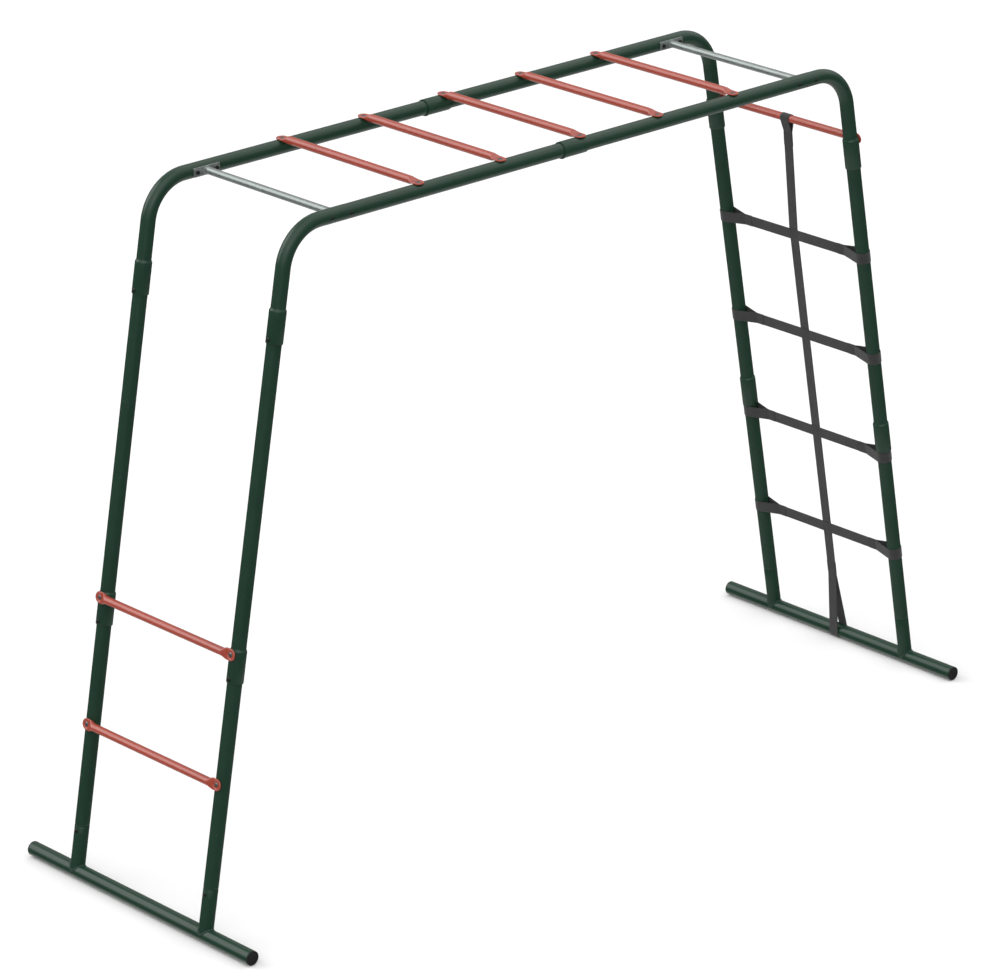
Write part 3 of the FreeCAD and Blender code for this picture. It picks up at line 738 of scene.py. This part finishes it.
def nut(b, p, axis, r=0.003, af=0.010, h=0.005):
    a = axis.normalized()
    s = Y if abs(a.y) < 0.9 else Vector((0, 0, 1))
    s = (s - a * s.dot(a)).normalized()
    t = a.cross(s)
    c = af / math.sqrt(3)
    seg = 36

    def row(hh, cut):
        out = []
        for i in range(seg):
            k = 2 * math.pi * i / seg
            w = (k % (math.pi / 3)) - math.pi / 6
            hexr = (af / 2) / math.cos(w)
            out.append(p + a * hh + (s * math.cos(k) + t * math.sin(k)) * min(hexr, cut))
        return out

    rows = [row(0, af / 2 * 1.0), row(0.0005, af / 2 * 1.06), row(0.0009, c), row(h - 0.0011, c), row(h - 0.0006, af / 2 * 1.08), row(h - 0.0001, af / 2 * 0.99),
            row(h, af / 2 * 0.9), row(h, r + 0.0007), row(h - 0.0006, r + 0.0001), row(0, r + 0.0001)]
    b.rings(rows, close=True)


def fasteners():
    up = Vector((0, 0, 1))
    g = {}

    def get(k):
        return g.setdefault(k, Build())

    for sy in (-1, 1):
        for x in RUNG_X:
            screw(get("overhead_rung_screws"), Vector((x, sy * RAIL_Y, RAIL_Z + rung_seat(x) + DISH_FLOOR)), up)
        screw(get("rail_joint_screws"), Vector((RAIL_JOINT_X + SCREW_IN, sy * RAIL_Y, RAIL_Z - SLEEVE_R)), -up)
        for sx in (-1, 1):
            for d in (UPPER_JOINT, LOWER_JOINT):
                screw(get("leg_joint_screws"), down(sx, sy, d - SCREW_IN, SLEEVE_R), out_dir(sx))
            screw(get("foot_screws"), down(sx, sy, STUB_TOP + FOOT_SCREW, TUBE_R), out_dir(sx))
            for dx in (-PLATE_HOLES, PLATE_HOLES):
                c = Vector((BRACE_X[sx] + dx, sy * (RAIL_Y + TUBE_R), RAIL_Z))
                screw(get("brace_bolts"), c, Vector((0, sy, 0)), 2 * TUBE_R + PLATE_T + 0.0065, 0.003, 0.006, 0.0033, 0.002)
                c = Vector((BRACE_X[sx] + dx, sy * (RAIL_Y - TUBE_R - PLATE_T), RAIL_Z))
                nut(get("brace_nuts"), c, Vector((0, -sy, 0)))
        for d, seat in ((LADDER_AT[0], SLEEVE_R), (LADDER_AT[1], TUBE_R)):
            screw(get("ladder_rung_screws"), down(-1, sy, d, seat + DISH_FLOOR), out_dir(-1))
        screw(get("net_bar_screws"), down(1, sy, NET_BAR_AT, SLEEVE_R + DISH_FLOOR), out_dir(1))
    for k, b in g.items():
        mesh_object(k, b.v, b.f, M_BOLT if "rung" in k or "bar" in k else M_BLACK, [k], sharp=28)


fasteners()


# ---------------------------------------------------------------- webbing
def arc_points(c, r, a0, a1, n):
    return [(c[0] + r * math.cos(a0 + (a1 - a0) * i / n), c[1] + r * math.sin(a0 + (a1 - a0) * i / n)) for i in range(n + 1)]


def tangent(c, r, a, side):
    """Where a line from a touches the circle, on the left (+1) or right (-1) of c->a."""
    dx, dy = a[0] - c[0], a[1] - c[1]
    L = math.hypot(dx, dy)
    base = math.atan2(dy, dx)
    return base + side * math.acos(r / L)


class Strap:
    """Ribbons of webbing from 2-D centre lines, each with a woven-edge section."""

    def __init__(self, place):
        self.place = place  # (u, v, w) -> row-frame point
        self.v, self.f, self.uv, self.m = [], [], [], []

    def ribbon(self, line, thick=STRAP_T, width=STRAP_W, u0=0.0, slack=None, ends=(True, True), mid=0.0):
        """line: list of (u, v); slack(k, w) moves a point out of the plane a little."""
        hw, ht = width / 2, thick / 2
        # section: flat faces with a soft selvedge
        sec = []
        n = 10
        for i in range(n + 1):
            w = hw - 0.0012 - (2 * hw - 0.0024) * i / n
            sec.append((w, ht))
        sec += [(-hw + 0.0005, ht * 0.82), (-hw, ht * 0.35), (-hw, -ht * 0.35), (-hw + 0.0005, -ht * 0.82)]
        for i in range(n + 1):
            w = -hw + 0.0012 + (2 * hw - 0.0024) * i / n
            sec.append((w, -ht))
        sec += [(hw - 0.0005, -ht * 0.82), (hw, -ht * 0.35), (hw, ht * 0.35), (hw - 0.0005, ht * 0.82)]
        length, rows, at = 0.0, [], []
        for i, (u, v) in enumerate(line):
            if i:
                length += math.hypot(u - line[i - 1][0], v - line[i - 1][1])
            a = line[max(i - 1, 0)]
            c = line[min(i + 1, len(line) - 1)]
            t = Vector((c[0] - a[0], c[1] - a[1])).normalized()
            nrm = Vector((-t.y, t.x))
            row = []
            for w, h in sec:
                extra = slack(length, w) if slack else 0.0
                uu, vv = u + nrm.x * (h + extra), v + nrm.y * (h + extra)
                row.append(self.place(uu, vv, w + mid))
            rows.append(row)
            at.append(length)
        base = len(self.v)
        k = len(sec)
        for r in rows:
            self.v.extend(r)
        for i in range(len(rows) - 1):
            for j in range(k):
                j2 = (j + 1) % k
                self.f.append((base + i * k + j, base + i * k + j2, base + (i + 1) * k + j2, base + (i + 1) * k + j))
                wa, wb = sec[j][0], sec[j2][0]
                self.uv.append([(u0 + at[i], wa), (u0 + at[i], wb), (u0 + at[i + 1], wb), (u0 + at[i + 1], wa)])
                self.m.append(0)
        for which, r in ((0, 0), (1, len(rows) - 1)):
            if ends[which]:
                idx = [base + r * k + j for j in range(k)]
                self.f.append(tuple(reversed(idx)) if which == 0 else tuple(idx))
                self.uv.append([(u0 + at[r], s[0]) for s in (reversed(sec) if which == 0 else sec)])
                self.m.append(0)
        return length

    def stitch(self, p, q, face_v, pitch=0.0042, r=0.00042, rise=0.00035):
        """A row of lock stitches from p to q, given as (u, w), on the face at height face_v(u)."""
        du, dw = q[0] - p[0], q[1] - p[1]
        L = math.hypot(du, dw)
        n = max(1, int(round(L / pitch)))
        eu, ew = du / L, dw / L
        for i in range(n):
            s0, s1 = (i + 0.12) * L / n, (i + 0.88) * L / n
            rows = []
            for j in range(5):
                f = j / 4
                s = s0 + (s1 - s0) * f
                lift = rise * math.sin(math.pi * f) + 0.00005
                rr = r * (0.55 + 0.45 * math.sin(math.pi * f))
                u, w = p[0] + eu * s, p[1] + ew * s
                sv, sgn = face_v(u)
                row = []
                for a in (0, 60, 120, 180, 240, 300):
                    ca, sa = math.cos(math.radians(a)) * rr, math.sin(math.radians(a)) * rr
                    # across the row in the face, and up from it
                    row.append(self.place(u - ew * ca, sv + sgn * (lift + sa), w + eu * ca))
                rows.append(row)
            base = len(self.v)
            for r_ in rows:
                self.v.extend(r_)
            for a in range(4):
                for j in range(6):
                    j2 = (j + 1) % 6
                    self.f.append((base + a * 6 + j, base + a * 6 + j2, base + (a + 1) * 6 + j2, base + (a + 1) * 6 + j))
                    self.uv.append([(0, 0)] * 4)
                    self.m.append(1)

    def box_cross(self, u0, u1, w0, w1, face_v):
        for p, q in (((u0, w0), (u1, w0)), ((u1, w0), (u1, w1)), ((u1, w1), (u0, w1)), ((u0, w1), (u0, w0)),
                     ((u0, w0), (u1, w1)), ((u0, w1), (u1, w0))):
            self.stitch(p, q, face_v)

    def make(self, name, nodes):
        return mesh_object(name, self.v, self.f, M_WEB, nodes, sharp=45, uvs=self.uv, mats=[M_THREAD], face_mats=self.m)


def line_points(p, q, step=0.012):
    L = math.hypot(q[0] - p[0], q[1] - p[1])
    n = max(2, int(L / step))
    return [(p[0] + (q[0] - p[0]) * i / n, p[1] + (q[1] - p[1]) * i / n) for i in range(n + 1)]


def loop_line(c, apex, r):
    """Centre line from apex round c and back, for a band of webbing hugging radius r."""
    a0 = tangent(c, r, apex, 1)
    a1 = tangent(c, r, apex, -1)
    while a1 < a0:
        a1 += 2 * math.pi
    p = (c[0] + r * math.cos(a0), c[1] + r * math.sin(a0))
    q = (c[0] + r * math.cos(a1), c[1] + r * math.sin(a1))
    return line_points(apex, p)[:-1] + arc_points(c, r, a0, a1, 40) + line_points(q, apex)[1:]


def cross_strap(d, name, k):
    o, n, t = down(1, 0, d), out_dir(1), leg_dir(1)
    st = Strap(lambda u, v, w: o + Y * u + n * v + t * w)
    rc = TUBE_R + STRAP_GAP + STRAP_T / 2
    lay = STRAP_T / 2

    def slack(s, w):
        return 0.0

    inner = RAIL_Y - CROSS_LOOP
    st.ribbon(line_points((-inner, 0), (inner, 0), 0.01), slack=slack)
    for s in (-1, 1):
        c = (s * RAIL_Y, 0)
        st.ribbon(loop_line(c, (s * (inner - 0.004), 0), rc), u0=0.5 + 0.1 * s)
        # the tail sewn back on the strap, on the inner side, and its folded end
        sewn = RAIL_Y - CROSS_SEWN
        tail = line_points((s * (inner + 0.004), -STRAP_T * 0.62), (s * sewn, -STRAP_T * 0.78), 0.008)
        st.ribbon(tail, u0=0.9, thick=STRAP_T * 0.8)
        top = line_points((s * (inner + 0.004), STRAP_T * 0.62), (s * sewn, STRAP_T * 0.78), 0.008)
        st.ribbon(top, u0=1.3, thick=STRAP_T * 0.8)
        a, b = sorted((s * (inner + 0.001), s * (sewn + s * 0.003)))
        for side in (-1, 1):
            st.box_cross(a, b, -STRAP_W / 2 + 0.004, STRAP_W / 2 - 0.004, lambda u, sd=side: (sd * STRAP_T * 1.12, sd))
        # the loop below draws no bar tack at the cut end
        for w in (-0.012, -0.006, 0.0, 0.006, 0.012):
            pass
    return st.make(name, [name])


for i, d in enumerate(STRAP_AT):
    cross_strap(d, "net_cross_strap_%d" % (i + 1), i)


def upright_strap():
    o, t, n = Vector((CORNER_X, NET_Y, RAIL_Z)), leg_dir(1), out_dir(1)
    st = Strap(lambda u, v, w: o + t * u + n * v - Y * w)
    off = STRAP_T + 0.0001
    bar = Vector((NET_BAR_AT, SLEEVE_R + RUNG_AXIS))
    tube = Vector((GROUND_AT, 0))
    first = Vector((STRAP_AT[0] - STRAP_W / 2 - 0.004, off))
    last = Vector((STRAP_AT[-1] + STRAP_W / 2 + 0.004, off))
    u = (first - bar).normalized()
    w = (last - tube).normalized()
    top, foot = bar + u * TOP_LOOP, tube + w * FOOT_LOOP
    line = line_points(tuple(top), tuple(first))[:-1] + line_points(tuple(first), tuple(last))[:-1] + line_points(tuple(last), tuple(foot))
    st.ribbon(line)
    st.ribbon(loop_line(tuple(bar), tuple(top + u * 0.004), RUNG_R + STRAP_GAP + STRAP_T / 2), u0=2.3)
    st.ribbon(loop_line(tuple(tube), tuple(foot + w * 0.006), TUBE_R + STRAP_GAP + STRAP_T / 2), u0=2.9)
    for a, b in ((top + u * 0.004, bar + u * TOP_SEWN), (foot + w * 0.006, tube + w * FOOT_SEWN)):
        dr = (b - a).normalized()
        nn = Vector((-dr.y, dr.x))
        for side in (-1, 1):
            p, q = a + nn * (side * STRAP_T * 0.62), b + nn * (side * STRAP_T * 0.78)
            st.ribbon(line_points(tuple(p), tuple(q), 0.008), thick=STRAP_T * 0.8, u0=3.7)
            lo, hi = sorted((a.x + dr.x * 0.002, b.x - dr.x * 0.003))

            def face(uu, sd=side * (1 if dr.x > 0 else 1), a=a, dr=dr, nn=nn):
                s = (uu - a.x) / dr.x
                p_ = a + dr * s + nn * (sd * STRAP_T * 1.12)
                return p_.y, (1 if nn.y * sd > 0 else -1)

            st.box_cross(lo, hi, -STRAP_W / 2 + 0.004, STRAP_W / 2 - 0.004, face)
    # sewn crossings, on both faces
    for d in STRAP_AT:
        h = STRAP_W / 2 - 0.005
        st.box_cross(d - h, d + h, -h - NET_Y * 0, h, lambda uu: (off + STRAP_T / 2 + 0.00008, 1))
        st.box_cross(d - h, d + h, -h, h, lambda uu: (-STRAP_T / 2 - 0.00008, -1))
    return st.make("net_upright_strap", ["net_upright_strap"])


upright_strap()


# ---------------------------------------------------------------- floor, lights, camera
def floor():
    t = Tree("floor")
    v = t.coords()
    n = t.noise(v, 1.2, 2.0, 0.5)
    t.link(t.mix(t.remap(n, 0.3, 0.7, 0, 1), (0.625, 0.625, 0.625), (0.64, 0.64, 0.64)), t.bsdf.inputs["Base Color"])
    t.bsdf.inputs["Roughness"].default_value = 0.9
    t.bsdf.inputs["Specular IOR Level"].default_value = 0.1
    me = bpy.data.meshes.new("floor")
    s = 300.0
    me.from_pydata([(-s, -s, 0), (s, -s, 0), (s, s, 0), (-s, s, 0)], [], [(0, 1, 2, 3)])
    me.materials.append(t.mat)
    ob = bpy.data.objects.new("floor", me)
    bpy.context.scene.collection.objects.link(ob)
    ob.visible_glossy = False


floor()

bpy.context.scene.view_settings.view_transform = "Standard"
bpy.context.scene.view_settings.look = "None"
world = bpy.data.worlds.new("studio")
bpy.context.scene.world = world
world.use_nodes = True
wn, wl = world.node_tree.nodes, world.node_tree.links
bg = wn["Background"]
# a studio dome: pale straight below, dark towards the horizon, bright overhead
gen = wn.new("ShaderNodeTexCoord")
sep = wn.new("ShaderNodeSeparateXYZ")
wl.new(gen.outputs["Generated"], sep.inputs[0])
half = wn.new("ShaderNodeMapRange")
half.inputs[1].default_value, half.inputs[2].default_value = -1.0, 1.0
half.inputs[3].default_value, half.inputs[4].default_value = 0.0, 1.0
wl.new(sep.outputs["Z"], half.inputs[0])
dome = wn.new("ShaderNodeValToRGB")
stops = ((-1.0, 1.0), (-0.72, 0.9), (-0.5, 0.20), (-0.25, 0.06), (0.0, 0.26), (0.3, 0.55), (1.0, 0.98))
cr = dome.color_ramp
while len(cr.elements) > 1:
    cr.elements.remove(cr.elements[-1])
cr.elements[0].position = 0.0
cr.elements[0].color = (stops[0][1] / 2,) * 3 + (1,)
for zz, level in stops[1:]:
    cr.elements.new((zz + 1) / 2).color = (level / 2,) * 3 + (1,)
wl.new(half.outputs[0], dome.inputs["Fac"])
mul = wn.new("ShaderNodeMath")
mul.operation = "MULTIPLY"
mul.inputs[1].default_value = 2.0
wl.new(dome.outputs["Color"], mul.inputs[0])
level = mul.outputs[0]
# three soft panels: behind left, behind right overhead, and a wide weak one in front
for aim, power, edge, core in (((-0.50, 0.68, 0.53), 3.1, 0.85, 0.95), ((0.635, -0.12, 0.76), 0.95, 0.74, 0.91),
                               ((-0.50, -0.52, 0.69), 1.5, 0.58, 0.95)):
    dot = wn.new("ShaderNodeVectorMath")
    dot.operation = "DOT_PRODUCT"
    wl.new(gen.outputs["Generated"], dot.inputs[0])
    dot.inputs[1].default_value = Vector(aim).normalized()
    panel = wn.new("ShaderNodeMapRange")
    panel.interpolation_type = "SMOOTHSTEP"
    panel.inputs[1].default_value, panel.inputs[2].default_value = edge, core
    panel.inputs[3].default_value, panel.inputs[4].default_value = 0.0, power
    wl.new(dot.outputs["Value"], panel.inputs[0])
    both = wn.new("ShaderNodeMath")
    both.operation = "ADD"
    wl.new(level, both.inputs[0])
    wl.new(panel.outputs[0], both.inputs[1])
    level = both.outputs[0]
bg.inputs["Color"].default_value = (1.0, 1.0, 1.0, 1)
wl.new(level, bg.inputs["Strength"])


def area(name, loc, target, size, energy, color=(1, 1, 1)):
    li = bpy.data.lights.new(name, "AREA")
    li.shape = "RECTANGLE"
    li.size, li.size_y = size
    li.energy = energy
    li.color = color
    ob = bpy.data.objects.new(name, li)
    ob.location = loc
    ob.rotation_mode = "QUATERNION"
    ob.rotation_quaternion = (Vector(target) - Vector(loc)).to_track_quat("-Z", "Y")
    bpy.context.scene.collection.objects.link(ob)


area("front", (-11.0, -12.0, 11.0), (0, 0, 1.0), (5.0, 5.0), 160)

cam = bpy.data.cameras.new("camera")
cam.sensor_width = 36.0
cam.sensor_fit = "HORIZONTAL"
cam.lens = 4947.1123 / 989.0 * 36.0
cam.clip_start, cam.clip_end = 0.1, 200.0
cob = bpy.data.objects.new("camera", cam)
yaw, pitch, roll = math.radians(42.95194), math.radians(21.24680), math.radians(-0.21681)
fwd = Vector((math.sin(yaw) * math.cos(pitch), math.cos(yaw) * math.cos(pitch), -math.sin(pitch)))
right = Vector((math.cos(yaw), -math.sin(yaw), 0))
upv = right.cross(fwd)
r2 = right * math.cos(roll) + upv * math.sin(roll)
u2 = -right * math.sin(roll) + upv * math.cos(roll)
m = Matrix((r2, u2, -fwd)).transposed().to_4x4()
m.translation = Vector((-9.107136, -9.714137, 6.046490))
cob.matrix_world = m
bpy.context.scene.collection.objects.link(cob)
bpy.context.scene.camera = cob

bpy.context.view_layer.update()
